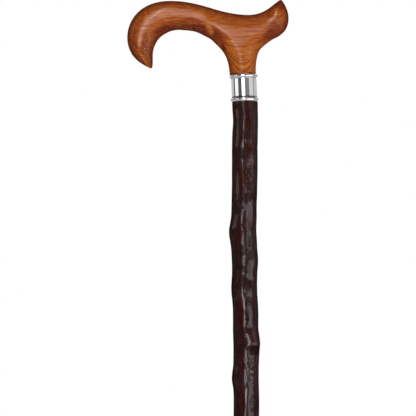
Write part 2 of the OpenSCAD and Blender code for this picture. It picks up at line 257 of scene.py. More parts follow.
relief = stick.vertex_groups.new(name="relief")
marks = {mark: {} for mark in ("bare_wood_and_shadow", *PATCHES)}
bark_rings = {}
for vertex in stick.data.vertices:
    ring_number = round((vertex.co.z - BARK_START) / bark_length * ring_count)
    bark_rings.setdefault(ring_number, []).append(vertex)
for bark_ring in bark_rings.values():
    centre = sum((vertex.co for vertex in bark_ring), Vector()) / len(bark_ring)
    for vertex in bark_ring:
        x, y, z = vertex.co
        direction = math.atan2(y - centre.y, x - centre.x)
        radius = math.hypot(x - centre.x, y - centre.y)
        rise, cut_and_shadow = knot_relief(z, direction, radius)
        for uneven_depth, across, along in UNEVEN:
            rise += uneven_depth * noise.noise((x * across, y * across, z * along))
        relief.add([vertex.index], min(1, max(0, 0.5 + rise / RELIEF_RANGE)), "REPLACE")
        marks["bare_wood_and_shadow"][vertex.index] = cut_and_shadow
        for mark, patches in PATCHES.items():
            marks[mark][vertex.index] = patch_share(patches, z, direction, radius)
for mark, shares in marks.items():
    paint(stick, mark, [shares[i] for i in range(len(shares))])
add_modifier(
    stick, "DISPLACE", vertex_group="relief", strength=RELIEF_RANGE, mid_level=0, direction="NORMAL")
add_modifier(
    stick, "DISPLACE", strength=BARK_THICKNESS - 0.5 * RELIEF_RANGE, mid_level=0, direction="NORMAL")
stick.vertex_groups.remove(stick.vertex_groups["relief"])

# The lower end steps in to the seat, the upper end to the tenon with the stud's hole
bpy.ops.object.mode_set(mode="EDIT")
bottom = BARK_START + STICK_RING_GAP / 2
select(stick, "EDGE", lambda edge: all(v.co.z < bottom for v in edge.verts))
bpy.ops.mesh.extrude_region()
bpy.ops.transform.tosphere(value=1)
bpy.ops.object.mode_set(mode="OBJECT")
seat_ring = [v.co for v in stick.data.vertices if v.select]
seat_scale = SEAT_RADIUS / (sum(math.hypot(co.x, co.y) for co in seat_ring) / len(seat_ring))
bpy.ops.object.mode_set(mode="EDIT")
bpy.ops.transform.resize(value=(seat_scale, seat_scale, 1), center_override=(0, 0, BARK_START))
seat_length = BARK_START - stick_end
grow_ring(1, (0, 0, -(seat_length - SEAT_CHAMFER)))
grow_ring(1 - SEAT_CHAMFER / SEAT_RADIUS, (0, 0, -SEAT_CHAMFER))
bpy.ops.mesh.edge_face_add()

top = bark_end - STICK_RING_GAP / 2
select(stick, "EDGE", lambda edge: all(v.co.z > top for v in edge.verts))
bpy.ops.mesh.extrude_region()
bpy.ops.transform.translate(value=(0, 0, BARK_END_GAP))
bpy.ops.transform.rotate(value=LOWER_RING_LEAN, orient_axis="Y", center_override=shoulder)
bpy.ops.mesh.extrude_region()
tenon_scale = TENON_RADIUS / BARK_END_RADIUS
bpy.ops.transform.resize(value=(tenon_scale, tenon_scale, 1), center_override=shoulder)
bpy.ops.mesh.extrude_region()
bpy.ops.transform.translate(value=collar_axis * TENON_LENGTH)
bpy.ops.mesh.extrude_region()
hole_scale = STUD_HOLE_RADIUS / TENON_RADIUS
bpy.ops.transform.resize(
    value=(hole_scale, hole_scale, 1), center_override=shoulder + collar_axis * TENON_LENGTH)
bpy.ops.mesh.extrude_region()
bpy.ops.transform.translate(value=-collar_axis * STUD_HOLE_DEPTH)
bpy.ops.mesh.edge_face_add()
end_piece(stick, WOOD_SMOOTH_ANGLE)


class Nodes:
    """Short names for making and linking the nodes of a material, or of the world."""

    def __init__(self, name, shelf=bpy.data.materials, shader="Principled BSDF"):
        self.owner = shelf.new(name)
        self.owner.use_nodes = True
        self.tree = self.owner.node_tree
        self.shader = self.tree.nodes[shader]

    def add(self, kind, settings=None, **inputs):
        node = self.tree.nodes.new(kind)
        for setting, value in (settings or {}).items():
            setattr(node, setting, value)
        for socket, value in inputs.items():
            self.put(node, socket.replace("_", " "), value)
        return node

    def put(self, node, socket, value):
        target = node.inputs[socket]
        if isinstance(value, bpy.types.NodeSocket):
            self.tree.links.new(value, target)
        else:
            target.default_value = value

    def set(self, **inputs):
        for socket, value in inputs.items():
            self.put(self.shader, socket.replace("_", " "), value)

    def attribute(self, name):
        return self.add("ShaderNodeAttribute", {"attribute_name": name}).outputs["Fac"]

    def place(self, per_metre, centre=(0, 0, 0), rotation=(0, 0, 0)):
        """Object coordinates from a centre, counted in this many steps a metre along X, Y and Z."""
        spot = self.add("ShaderNodeTexCoord").outputs["Object"]
        mapping = self.add("ShaderNodeMapping", {"vector_type": "TEXTURE"}, Vector=spot)
        mapping.inputs["Location"].default_value = centre
        mapping.inputs["Rotation"].default_value = rotation
        mapping.inputs["Scale"].default_value = [1 / steps for steps in per_metre]
        return mapping.outputs[0]

    def noise(self, per_metre, detail, roughness=0.55, centre=(0, 0, 0)):
        return self.add(
            "ShaderNodeTexNoise", None, Vector=self.place(per_metre, centre), Scale=1.0, Detail=detail,
            Roughness=roughness).outputs["Fac"]

    def math(self, operation, *values):
        node = self.add("ShaderNodeMath", {"operation": operation})
        for socket, value in enumerate(values):
            self.put(node, socket, value)
        return node.outputs[0]

    def times(self, product, *others):
        for other in others:
            product = self.math("MULTIPLY", product, other)
        return product

    def span(self, value, low, high, to_low=0.0, to_high=1.0, curve="SMOOTHSTEP"):
        """The value's range from low to high is mapped to another range, which it doesn't leave."""
        node = self.add("ShaderNodeMapRange", {"interpolation_type": curve})
        for socket, number in enumerate((value, low, high, to_low, to_high)):
            self.put(node, socket, number)
        return node.outputs[0]

    def ramp(self, value, stops):
        node = self.add("ShaderNodeValToRGB", None, Fac=value)
        elements = node.color_ramp.elements
        while len(elements) < len(stops):
            elements.new(1)
        for element, (position, colour) in zip(elements, stops):
            element.position = position
            element.color = (*colour, 1)
        return node.outputs["Color"]

    def mix(self, share, low, high, blend="MIX"):
        node = self.add("ShaderNodeMix", {"data_type": "RGBA", "blend_type": blend})
        self.put(node, 0, share)
        for socket, value in ((6, low), (7, high)):
            if not isinstance(value, bpy.types.NodeSocket):
                value = (*value, 1)
            self.put(node, socket, value)
        return node.outputs[2]

    def lay_over(self, colour, layers):
        """The colour with these tones laid over it in turn, each by its share."""
        for share, tone in layers:
            colour = self.mix(share, colour, tone)
        return colour

    def bump(self, height, distance, strength=1.0, normal=None):
        node = self.add("ShaderNodeBump", None, Height=height, Distance=distance, Strength=strength)
        if normal is not None:
            self.put(node, "Normal", normal)
        return node.outputs[0]

    def edge_gloss(self, facing, edge, start, end):
        """Gloss that falls off where the surface turns away, as on one with fine pores and ridges."""
        turned_away = self.add("ShaderNodeLayerWeight", None, Blend=0.5).outputs["Facing"]
        return self.span(turned_away, start, end, facing, edge)


BARK_BLACK = (0.0140, 0.0045, 0.0042)
BARK_BROWN = (0.0320, 0.0090, 0.0080)
BARK_RED = (0.0500, 0.0100, 0.0066)
BARK_GREY = (0.0260, 0.0210, 0.0175)
BARK_SKIN = (0.1000, 0.0800, 0.0780)
KNOT_WOOD_AND_SHADOW = (0.0170, 0.0080, 0.0062)
bark = Nodes("varnished_bark")
streaks = bark.noise((320, 320, 30), 4.0, 0.6)
blotches = bark.noise((110, 110, 40), 3.0, 0.5)
pits = bark.noise((900, 900, 500), 3.0, 0.6)
ridges = bark.noise((1500, 1500, 120), 2.0, 0.5)
wrinkles = bark.noise((170, 170, 520), 2.0, 0.5)
flecks = bark.noise((620, 620, 800), 3.0, 0.6)
mottle = bark.noise((1100, 1100, 240), 3.0, 0.6)
varnish = bark.noise((900, 900, 70), 4.0, 0.65)
rubbed = bark.attribute("rubbed")
smudged = bark.attribute("smudged")
wrinkled = bark.attribute("wrinkled")
# Bare wood on cut knots, and painted shadow under their ledges
bare_wood_and_shadow = bark.attribute("bare_wood_and_shadow")
worn = bark.times(rubbed, bark.span(streaks, 0.3, 0.6, 0.45, 1.0))
greyed = bark.times(smudged, bark.span(pits, 0.36, 0.60, 0.35, 1.0))
flaked = bark.times(bark.attribute("flecked"), bark.span(flecks, 0.50, 0.58, 0, 0.95))
between = bark.times(wrinkled, bark.span(wrinkles, 0.56, 0.42, 0, 0.7))
bark_colour = bark.lay_over(BARK_BLACK, [
    (bark.span(streaks, 0.32, 0.66), BARK_BROWN),
    (bark.span(blotches, 0.50, 0.70, 0, 0.6), BARK_RED),
    (worn, BARK_RED),
    (greyed, BARK_GREY),
    (flaked, BARK_SKIN),
    (bare_wood_and_shadow, KNOT_WOOD_AND_SHADOW),
    (between, BARK_BLACK),
    (bark.span(pits, 0.52, 0.68, 0, 0.5), BARK_BLACK),
    (bark.span(mottle, 0.49, 0.36, 0, 0.9), BARK_BLACK),
    (bark.span(mottle, 0.53, 0.66, 0, 0.8), BARK_RED)])
bark_relief = bark.bump(ridges, 0.00004)
bark_relief = bark.bump(pits, 0.00004, 1.0, bark_relief)
bark_relief = bark.bump(bark.times(wrinkled, wrinkles), 0.00030, 1.0, bark_relief)

# Smudges, bare knots, the hollows between wrinkles and rubbed places have lost most of their varnish
dull = bark.math("MAXIMUM", bark.math("MAXIMUM", smudged, bare_wood_and_shadow), between)
bark_gloss = bark.times(
    bark.span(varnish, 0.36, 0.62, 0.36, 1.0), bark.span(dull, 0.2, 0.8, 1.0, 0.12),
    bark.span(rubbed, 0.3, 0.9, 1.0, 0.12), bark.edge_gloss(0.94, 0.05, 0.12, 0.65))
bark.set(
    Base_Color=bark_colour, Roughness=bark.span(streaks, 0.3, 0.7, 0.45, 0.60), Normal=bark_relief,
    Specular_IOR_Level=0, Coat_Weight=bark_gloss, Coat_Roughness=0.08, Coat_IOR=1.5,
    Coat_Normal=bark_relief)
stick.data.materials.append(bark.owner)
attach(stick, "cane")
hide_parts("stick")


# Joining stud.
# A length of threaded steel rod, glued into the stick's tenon and the handle's neck.
# The collar hides it, so its solid stays and only takes a steel finish.
STEEL_DARK = (0.42, 0.43, 0.44)
STEEL_LIGHT = (0.56, 0.57, 0.58)
steel = Nodes("plain_steel")
scratches = steel.noise((900, 900, 60), 3.0)
steel.set(
    Base_Color=steel.mix(scratches, STEEL_DARK, STEEL_LIGHT), Metallic=1.0,
    Roughness=steel.span(scratches, 0.3, 0.7, 0.28, 0.45))
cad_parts["joining_stud"].data.materials.clear()
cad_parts["joining_stud"].data.materials.append(steel.owner)


# Collar sleeve.
# A short tube of polished, plated metal that hides the joint between the stick and the handle.
# It is glued over the tenon and the spigot, and leans a little with the handle.
SLEEVE_WALL = 0.0008
EDGE_ROUND = 0.00015
EDGE_STEPS = 3
SHARP_ANGLE = math.radians(35)
LOWER_RING_DROP = 0.00025
DARK_LINE = (0.0036, 0.0045)
TURNED_SIDES = 128
TOUCHING = 1e-6


def turned(name, profile, closed=False):
    """A piece turned on the Z axis: a ring is extruded along a profile of radii and heights."""
    radius, height = profile[0]
    bpy.ops.object.select_all(action="DESELECT")
    bpy.ops.mesh.primitive_circle_add(vertices=TURNED_SIDES, radius=radius, location=(0, 0, height))
    bpy.ops.object.transform_apply(location=True)
    piece = start_piece(name)
    if not closed:
        bpy.ops.mesh.edge_face_add()
        select(piece, "EDGE", lambda edge: True)
    for next_radius, next_height in profile[1:] + (profile[:1] if closed else []):
        grow_ring(next_radius / radius, (0, 0, next_height - height))
        radius, height = next_radius, next_height
    if closed:
        bpy.ops.mesh.select_all(action="SELECT")
        bpy.ops.mesh.remove_doubles(threshold=TOUCHING)
    else:
        bpy.ops.mesh.edge_face_add()
    end_piece(piece)
    return piece


def round_edges(piece, width):
    """The sharp edges of a turned piece are rounded."""
    add_modifier(
        piece, "BEVEL", width=width, segments=EDGE_STEPS, limit_method="ANGLE", angle_limit=SHARP_ANGLE)
    bpy.ops.object.shade_smooth_by_angle(angle=SMOOTH_ANGLE)


def set_on_collar(piece, lean=COLLAR_LEAN, drop=0):
    """A piece made on the Z axis is leaned and moved onto the collar's axis."""
    piece.rotation_euler = (0, -lean, 0)
    piece.location = shoulder - collar_axis * drop
    bpy.ops.object.transform_apply(location=True, rotation=True)


sleeve_radius = (sleeve_high.y - sleeve_low.y) / 2
sleeve = turned("collar_tube", [
    (sleeve_radius, 0), (sleeve_radius, DARK_LINE[0]), (sleeve_radius, DARK_LINE[1]),
    (sleeve_radius, COLLAR_HEIGHT), (sleeve_radius - SLEEVE_WALL, COLLAR_HEIGHT),
    (sleeve_radius - SLEEVE_WALL, 0)], closed=True)
round_edges(sleeve, EDGE_ROUND)

# The band just above the lower ring is darkened as painted shade, standing in for the dark that the corner
# there mirrors
slant = math.tan(COLLAR_LEAN - LOWER_RING_LEAN)
over_ring = [vertex.co.z + slant * vertex.co.x + LOWER_RING_DROP for vertex in sleeve.data.vertices]
paint(sleeve, "tarnish_and_shade", [1 - ease(*DARK_LINE, height) for height in over_ring])
set_on_collar(sleeve)

CHROME_DULL = (0.76, 0.76, 0.77)
CHROME = (0.80, 0.80, 0.81)
TARNISH_AND_SHADE = (0.040, 0.034, 0.032)
chrome = Nodes("polished_plate")
polish = chrome.noise((160, 160, 2600), 2.0)
finger_marks = chrome.noise((220, 220, 150), 3.0)
plating = chrome.mix(finger_marks, CHROME_DULL, CHROME)
# The attribute's share mixes in a dark colour: a little tarnish all over the rings, and painted shade in
# the corners at the rings
chrome.set(
    Base_Color=chrome.mix(chrome.attribute("tarnish_and_shade"), plating, TARNISH_AND_SHADE), Metallic=1.0,
    Roughness=chrome.span(finger_marks, 0.35, 0.7, 0.045, 0.10),
    Normal=chrome.bump(polish, 0.00002, 0.25))
sleeve.data.materials.append(chrome.owner)
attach(sleeve, "cane")
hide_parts("collar_sleeve")


# Collar rings.
# Two half-round rings of the same plated metal, pressed over the ends of the sleeve.
# A hollow fillet leads from the inner side of each to the sleeve.
RING_ROUND = 0.0018
RING_PROUD = 0.0011
RING_GAP = 0.00005
RING_ARC_POINTS = 14
RING_DULL = 0.12
FILLET = 0.0007
FILLET_POINTS = 6
FILLET_SHARE = 0.9
HOLLOW = (0.0001, 0.0006)


def collar_ring(name, node, height, inward, shade, lean=COLLAR_LEAN, drop=0):
    """A half-round ring at this height, with its fillet on the inward side; its plating is dulled a little
    all over, and its fillet darkened as painted shade by this share.
    """
    centre = sleeve_radius + RING_PROUD - RING_ROUND
    inner = sleeve_radius + RING_GAP
    reach = math.acos((inner - centre) / RING_ROUND)
    meet = math.acos((inner + FILLET - centre) / (RING_ROUND + FILLET))
    rise = (RING_ROUND + FILLET) * math.sin(meet)
    profile = []
    for i in range(RING_ARC_POINTS + 1):
        angle = -reach + (reach + meet) * i / RING_ARC_POINTS
        profile.append(
            (centre + RING_ROUND * math.cos(angle), height + inward * RING_ROUND * math.sin(angle)))
    for i in range(1, FILLET_POINTS + 1):
        angle = meet * (1 - FILLET_SHARE * i / FILLET_POINTS)
        profile.append(
            (inner + FILLET * (1 - math.cos(angle)), height + inward * (rise - FILLET * math.sin(angle))))
    profile.append((inner, profile[-1][1]))
    ring = turned(name, profile, closed=True)
    # The fillet next to the sleeve is darkened as painted shade
    proud = [math.hypot(vertex.co.x, vertex.co.y) - inner for vertex in ring.data.vertices]
    paint(ring, "tarnish_and_shade", [RING_DULL + shade * (1 - ease(*HOLLOW, height)) for height in proud])
    set_on_collar(ring, lean, drop)
    ring.data.materials.append(chrome.owner)
    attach(ring, "cane")
    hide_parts(node)


ring_half = math.sqrt(RING_ROUND ** 2 - (RING_ROUND - RING_PROUD + RING_GAP) ** 2)
collar_ring(
    "collar_bead_lower", "collar_bottom_ring", ring_half, inward=1, shade=1.0,
    lean=LOWER_RING_LEAN, drop=LOWER_RING_DROP)
collar_ring("collar_bead_upper", "collar_top_ring", COLLAR_HEIGHT - ring_half, inward=-1, shade=0.4)


# Handle.
# A derby handle sawn from a plank of reddish hardwood, its edges rounded over and its neck carved round.
# It is sanded, stained and varnished to a gloss, and glued to the stick through the collar.
HANDLE_LENGTH = 0.127
HANDLE_THICKNESS = 0.025
NECK_RADIUS = 0.01025
TOP_ROUND = 0.77
UNDER_ROUND = 0.99
CORNER_STEPS = 5
RIB_STEPS = 2
SPIGOT_LENGTH = 0.0096
HANDLE_HOLE_DEPTH = 0.044

# Ribs from the hook's point over the grip to the tail: the rib's outer end (x, z) and inner end (x, z)
# from the neck's foot, as shares of the handle's length, and its share of the handle's thickness
RIBS = [
    (-0.571, 0.060, -0.562, 0.064, 0.06), (-0.602, 0.077, -0.558, 0.102, 0.34),
    (-0.642, 0.104, -0.557, 0.146, 0.56), (-0.679, 0.143, -0.550, 0.184, 0.72),
    (-0.704, 0.197, -0.532, 0.222, 0.83), (-0.711, 0.260, -0.509, 0.251, 0.90),
    (-0.695, 0.333, -0.484, 0.268, 0.95), (-0.650, 0.402, -0.458, 0.282, 0.98),
    (-0.579, 0.451, -0.430, 0.291, 1.00), (-0.492, 0.473, -0.397, 0.295, 1.00),
    (-0.402, 0.472, -0.361, 0.292, 1.00), (-0.314, 0.458, -0.319, 0.286, 1.00),
    (-0.232, 0.435, -0.272, 0.274, 1.00), (-0.154, 0.409, -0.203, 0.235, 1.00),
    (-0.079, 0.388, -0.118, 0.217, 1.00), (0.000, 0.373, -0.031, 0.202, 0.99),
    (0.067, 0.369, 0.063, 0.194, 0.97), (0.129, 0.383, 0.150, 0.195, 0.94),
    (0.177, 0.409, 0.224, 0.229, 0.88), (0.213, 0.435, 0.269, 0.266, 0.79),
    (0.236, 0.451, 0.290, 0.315, 0.65), (0.246, 0.457, 0.291, 0.370, 0.46),
    (0.249, 0.458, 0.276, 0.417, 0.24), (0.250, 0.4585, 0.261, 0.444, 0.08)]
NECK_RIBS = (13, 18)
NECK_SIDES = 2 * CORNER_STEPS + 1
NECK_PATCH = 0.5
NECK_REACH = 0.3
SWELL = 1.006
SAME_HEIGHT = 1e-5

# Neck from its foot up: height, left and right flare beyond the neck's radius as shares of the
# handle's length, the share of the way from the neck's to the grip's thickness, and how far the
# round section bulges before its front and back are planed flat
NECK = [
    (0.000, 0.005, -0.005, 0.00, 1.00), (0.004, 0.005, -0.005, 0.00, 1.00),
    (0.067, 0.010, -0.002, 0.06, 1.01), (0.110, 0.021, 0.008, 0.18, 1.04),
    (0.137, 0.035, 0.017, 0.31, 1.07), (0.165, 0.053, 0.036, 0.48, 1.09),
    (0.208, 0.094, 0.098, 0.74, 1.11)]


def curve(a, b, c, d, share):
    """Row between rows b and c on a smooth curve through all four."""
    return [
        (2 * q + (r - p) * share + (2 * p - 5 * q + 4 * r - s) * share ** 2
         + (3 * q - p - 3 * r + s) * share ** 3) / 2
        for p, q, r, s in zip(a, b, c, d)]


last = len(RIBS) - 1
ribs = [
    curve(RIBS[max(i - 1, 0)], RIBS[i], RIBS[i + 1], RIBS[min(i + 2, last)], step / RIB_STEPS)
    for i in range(last) for step in range(RIB_STEPS)] + [RIBS[last]]


def rib_ends(rib):
    """A rib's outer and inner end."""
    return Vector((rib[0], 0, rib[1])) * HANDLE_LENGTH, Vector((rib[2], 0, rib[3])) * HANDLE_LENGTH


def rib_frame(rib):
    """A rib's middle, half height, half thickness and turn about Y."""
    outer, inner = rib_ends(rib)
    rise = (outer - inner) / 2
    slope = math.atan2(rise.z, rise.x) - math.pi / 2
    return (outer + inner) / 2, SWELL * rise.length, SWELL * rib[4] * HANDLE_THICKNESS / 2, slope


def turn(angle):
    """The selection is turned about the Y axis through the origin, from +X towards +Z."""
    bpy.ops.transform.rotate(value=angle, orient_axis="Y", center_override=(0, 0, 0))


def rib_layer():
    """The handle's layer that numbers the ribs of its corners, with 0 for the neck's."""
    return bmesh.from_edit_mesh(handle.data).verts.layers.int["rib"]


bpy.ops.object.select_all(action="DESELECT")
bpy.ops.mesh.primitive_plane_add(size=2, rotation=(0, math.pi / 2, 0))
bpy.ops.object.transform_apply(rotation=True)
handle = start_piece("derby_handle")
for side, offset in ((1, TOP_ROUND), (-1, UNDER_ROUND)):
    select(handle, "VERT", lambda vertex: vertex.co.z * side > 0.99)
    bpy.ops.mesh.bevel(affect="VERTICES", offset=offset, segments=CORNER_STEPS, profile=0.5)
bpy.ops.mesh.select_all(action="SELECT")
middle, half_height, half_thickness, slope = rib_frame(ribs[0])
bpy.ops.transform.resize(value=(1, half_thickness, half_height), center_override=(0, 0, 0))
turn(slope)
bpy.ops.transform.translate(value=middle)
bmesh.from_edit_mesh(handle.data).verts.layers.int.new("rib")
for number, rib in enumerate(ribs):
    if number:
        bpy.ops.mesh.extrude_region()
        bpy.ops.transform.translate(value=-middle)
        turn(-slope)
        middle, next_height, next_thickness, slope = rib_frame(rib)
        bpy.ops.transform.resize(
            value=(1, next_thickness / half_thickness, next_height / half_height),
            center_override=(0, 0, 0))
        half_height, half_thickness = next_height, next_thickness
        turn(slope)
        bpy.ops.transform.translate(value=middle)
    rib_mark = rib_layer()
    for vertex in bmesh.from_edit_mesh(handle.data).verts:
        if vertex.select:
            vertex[rib_mark] = number


def under_grip(face):
    """Whether a face lies in the patch of the underside that the neck grows from."""
    numbers = [vertex[rib_mark] for vertex in face.verts]
    if min(numbers) < NECK_RIBS[0] * RIB_STEPS or max(numbers) > NECK_RIBS[1] * RIB_STEPS:
        return False
    outer, inner = rib_ends(ribs[min(numbers)])
    up = (face.calc_center_median() - inner).dot(outer - inner) / (outer - inner).length_squared
    return up < NECK_PATCH


def neck_half_depth(swell):
    """Half the neck's thickness, this share of the way from its foot's to the grip's."""
    return NECK_RADIUS + swell * (HANDLE_THICKNESS / 2 - NECK_RADIUS)


select(handle, "FACE", under_grip)
bpy.ops.mesh.delete(type="FACE")
neck_points = 2 * (NECK_SIDES + (NECK_RIBS[1] - NECK_RIBS[0]) * RIB_STEPS)
bpy.ops.mesh.select_mode(type="EDGE")
bpy.ops.mesh.select_all(action="DESELECT")
bpy.ops.mesh.primitive_circle_add(vertices=neck_points, radius=1)
half_width, half_depth, neck_x, neck_z = 1, 1, 0, 0
for number, (rise, left, right, swell, bulge_out) in enumerate(NECK):
    if number:
        bpy.ops.mesh.extrude_region()
    bpy.ops.transform.translate(value=(-neck_x, 0, -neck_z))
    next_width = NECK_RADIUS + (left + right) * HANDLE_LENGTH / 2
    next_depth = bulge_out * neck_half_depth(swell)
    bpy.ops.transform.resize(
        value=(next_width / half_width, next_depth / half_depth, 1), center_override=(0, 0, 0))
    half_width, half_depth = next_width, next_depth
    neck_x, neck_z = (right - left) * HANDLE_LENGTH / 2, rise * HANDLE_LENGTH
    bpy.ops.transform.translate(value=(neck_x, 0, neck_z))
for rise, _, _, swell, _ in NECK:
    planed = neck_half_depth(swell)
    rib_mark = rib_layer()
    for side in (-1, 1):
        select(handle, "VERT", lambda vertex: (
            abs(vertex.co.z - rise * HANDLE_LENGTH) < SAME_HEIGHT and not vertex[rib_mark]
            and vertex.co.y * side > planed))
        bpy.ops.transform.resize(value=(1, 0, 1), center_override=(0, side * planed, 0))
foot = NECK[1][0] * HANDLE_LENGTH
select(handle, "EDGE", lambda edge: edge.is_boundary and edge.verts[0].co.z > foot / 2)
bpy.ops.mesh.bridge_edge_loops(number_cuts=2, interpolation="SURFACE", smoothness=0.7)
rib_mark = rib_layer()


def sanded(vertex):
    """Whether a corner lies on the neck above its foot, or on a rib that the neck grows from."""
    number = vertex[rib_mark] / RIB_STEPS
    on_neck = number == 0 and vertex.co.z > foot and vertex.co.x > -NECK_REACH * HANDLE_LENGTH
    return on_neck or NECK_RIBS[0] <= number <= NECK_RIBS[1]


# The planed front and back are sanded over, so that no edge is left where the planing ends
select(handle, "VERT", sanded)
bpy.ops.mesh.vertices_smooth(factor=0.5, repeat=30, xaxis=False, yaxis=True, zaxis=False)
bpy.ops.mesh.select_all(action="SELECT")
bpy.ops.mesh.normals_make_consistent(inside=False)
bpy.ops.object.mode_set(mode="OBJECT")
add_modifier(handle, "SUBSURF", levels=2, render_levels=2)

# Below the foot the neck steps in to the spigot, which holds the stud's hole
bpy.ops.object.mode_set(mode="EDIT")
select(handle, "EDGE", lambda edge: edge.is_boundary)
spigot_shift = (NECK[0][1] - NECK[0][2]) / 2 * HANDLE_LENGTH
spigot_scale = TENON_RADIUS / NECK_RADIUS
bpy.ops.mesh.extrude_region()
bpy.ops.transform.translate(value=(spigot_shift, 0, 0))
bpy.ops.transform.resize(value=(spigot_scale, spigot_scale, 1), center_override=(0, 0, 0))
grow_ring(1, (0, 0, -SPIGOT_LENGTH))
grow_ring(hole_scale, (0, 0, 0))
grow_ring(1, (0, 0, HANDLE_HOLE_DEPTH))
bpy.ops.mesh.edge_face_add()
end_piece(handle, WOOD_SMOOTH_ANGLE)
handle.rotation_euler = (0, -COLLAR_LEAN, 0)
neck_foot = shoulder + collar_axis * COLLAR_HEIGHT
handle.location = neck_foot
bpy.ops.object.transform_apply(location=True, rotation=True)

# Patches where the figure runs dark, or pale where the share is negative; the dark patch under the grip is
# painted shade, and a pale one on the tail a painted highlight: middle (x, z) from the neck's foot, half
# length and half height, as shares of the handle's length, tilt in degrees, and share
FIGURE_AND_PAINTED_LIGHT = [
    (-0.329, 0.287, 0.124, 0.024, 0, 0.60), (-0.135, 0.225, 0.071, 0.022, -50, 0.32),
    (-0.200, 0.284, 0.036, 0.014, -65, -1.00), (-0.094, 0.095, 0.093, 0.016, -72, 0.42),
    (-0.117, 0.167, 0.020, 0.007, -60, 0.80), (-0.600, 0.110, 0.090, 0.060, -50, 0.20),
    (-0.606, 0.102, 0.055, 0.009, -60, -0.50), (-0.531, 0.322, 0.036, 0.006, 38, -0.40),
    (-0.445, 0.347, 0.060, 0.006, 2, -0.40), (-0.500, 0.292, 0.060, 0.013, 22, 0.30),
    (-0.600, 0.215, 0.055, 0.018, 80, 0.40), (-0.658, 0.238, 0.075, 0.020, 85, 0.30),
    (-0.564, 0.195, 0.050, 0.012, 85, -0.08), (-0.284, 0.346, 0.085, 0.012, -8, 0.25),
    (0.190, 0.290, 0.055, 0.024, 25, 0.35), (0.235, 0.428, 0.050, 0.030, -60, 0.45),
    (0.210, 0.368, 0.030, 0.009, 80, -0.60), (0.150, 0.225, 0.080, 0.020, 32, 0.26)]
END_GRAIN = 0.08
EDGE_STAIN_AND_SHADE = 0.78
NECK_STAIN_AND_SHADE = 0.10
NECK_PALE = 0.27
SIDE_SHADE = 0.40
FOOT_SHADE = 0.80
HOOK_SPECKS = 0.6

# Where the handle's regions fade in or out, as shares of its length from the neck's foot
NECK_ACROSS = (0.12, 0.24)
NECK_UP = (0.12, 0.26)
FOOT_UP = (0.002, 0.012)
HOOK_OUT = (0.50, 0.58)
HOOK_UP = (0.16, 0.30)
UNDER_START = (0.20, 0.24)
UNDER_END = (0.42, 0.48)
UNDER_UP = (0.29, 0.33)


def fade(limits, value):
    """A smooth step from 1 at the first limit to 0 at the second."""
    return 1 - ease(*limits, value)


def figure_and_light_share(x, z):
    """How dark the figure and the painted shade are at a place of the handle, below 0 where the figure or a
    painted highlight makes it pale.
    """
    share = 0.0
    for middle_x, middle_z, half_length, half_height, tilt, strength in FIGURE_AND_PAINTED_LIGHT:
        along = Vector((math.cos(math.radians(tilt)), math.sin(math.radians(tilt))))
        away = Vector((x - middle_x, z - middle_z))
        across = along.x * away.y - along.y * away.x
        share += strength * math.exp(-(along.dot(away) / half_length) ** 4 - (across / half_height) ** 4)
    return share


# The ends of the grain hold more stain than the flat faces, and the rounded edges of the grip, which turn
# away from the front, are darker partly from stain and partly as painted shade; both are weaker on the neck
lean_back = Matrix.Rotation(COLLAR_LEAN, 3, "Y")
stain_and_light_shares = []
neck_shares = []
speck_shares = []
for vertex in handle.data.vertices:
    place = lean_back @ (vertex.co - neck_foot) / HANDLE_LENGTH
    end, face = abs(vertex.normal.x), abs(vertex.normal.y)
    on_neck = fade(NECK_ACROSS, abs(place.x)) * fade(NECK_UP, place.z)
    soaked_and_shaded = END_GRAIN * end ** 3 + EDGE_STAIN_AND_SHADE * math.sqrt(max(0, 1 - face ** 2))
    soaked_and_shaded *= 1 - (1 - NECK_STAIN_AND_SHADE) * on_neck
    # Painted shade: the neck's left side, and its foot next to the collar, are darkened
    shaded = SIDE_SHADE * on_neck * max(0, -vertex.normal.x) ** 4 + FOOT_SHADE * fade(FOOT_UP, place.z)
    stain_and_light_shares.append(figure_and_light_share(place.x, place.z) + soaked_and_shaded + shaded - NECK_PALE * on_neck)
    neck_shares.append(on_neck)
    on_hook = ease(*HOOK_OUT, -place.x) * fade(HOOK_UP, place.z)
    under = ease(*UNDER_START, -place.x) * fade(UNDER_END, -place.x) * fade(UNDER_UP, place.z)
    speck_shares.append(max(HOOK_SPECKS * on_hook, under))
paint(handle, "stain_and_light", stain_and_light_shares)
paint(handle, "neck", neck_shares)
paint(handle, "short_grain", speck_shares)

WOOD_STAIN = (0.165, 0.020, 0.005)
STAIN_AND_SHADE_TINT = (0.390, 0.200, 0.350)
WOOD_DEEP = (0.265, 0.042, 0.004)
WOOD_MID = (0.420, 0.099, 0.010)
WOOD_LIGHT = (0.560, 0.178, 0.024)
WOOD_PALE = (0.540, 0.200, 0.050)
PLANK_TILT = -1.8
SWAY = 0.016
RINGS_PER_METRE = 480.0
wood = Nodes("varnished_hardwood")
plank = wood.place((1, 1, 1), neck_foot, (0, -COLLAR_LEAN, 0))
plank_axes = wood.add("ShaderNodeSeparateXYZ", None, Vector=plank).outputs
layers = wood.math("MULTIPLY_ADD", plank_axes["Y"], PLANK_TILT, plank_axes["Z"])
layers = wood.math("MULTIPLY_ADD", wood.noise((9, 40, 40), 2.0, centre=neck_foot), SWAY, layers)
growth_rings = wood.add(
    "ShaderNodeTexNoise", {"noise_dimensions": "1D", "normalize": False},
    W=wood.times(layers, RINGS_PER_METRE), Scale=1.0, Detail=3.0, Roughness=0.6).outputs["Fac"]
fibres = wood.noise((70, 900, 900), 5.0, 0.68, neck_foot)
pores = wood.noise((130, 1300, 1300), 2.0, 0.6, neck_foot)
specks = wood.noise((420, 700, 520), 2.0, 0.6, neck_foot)
stain_and_light = wood.attribute("stain_and_light")
neck = wood.attribute("neck")
short_grain = wood.attribute("short_grain")
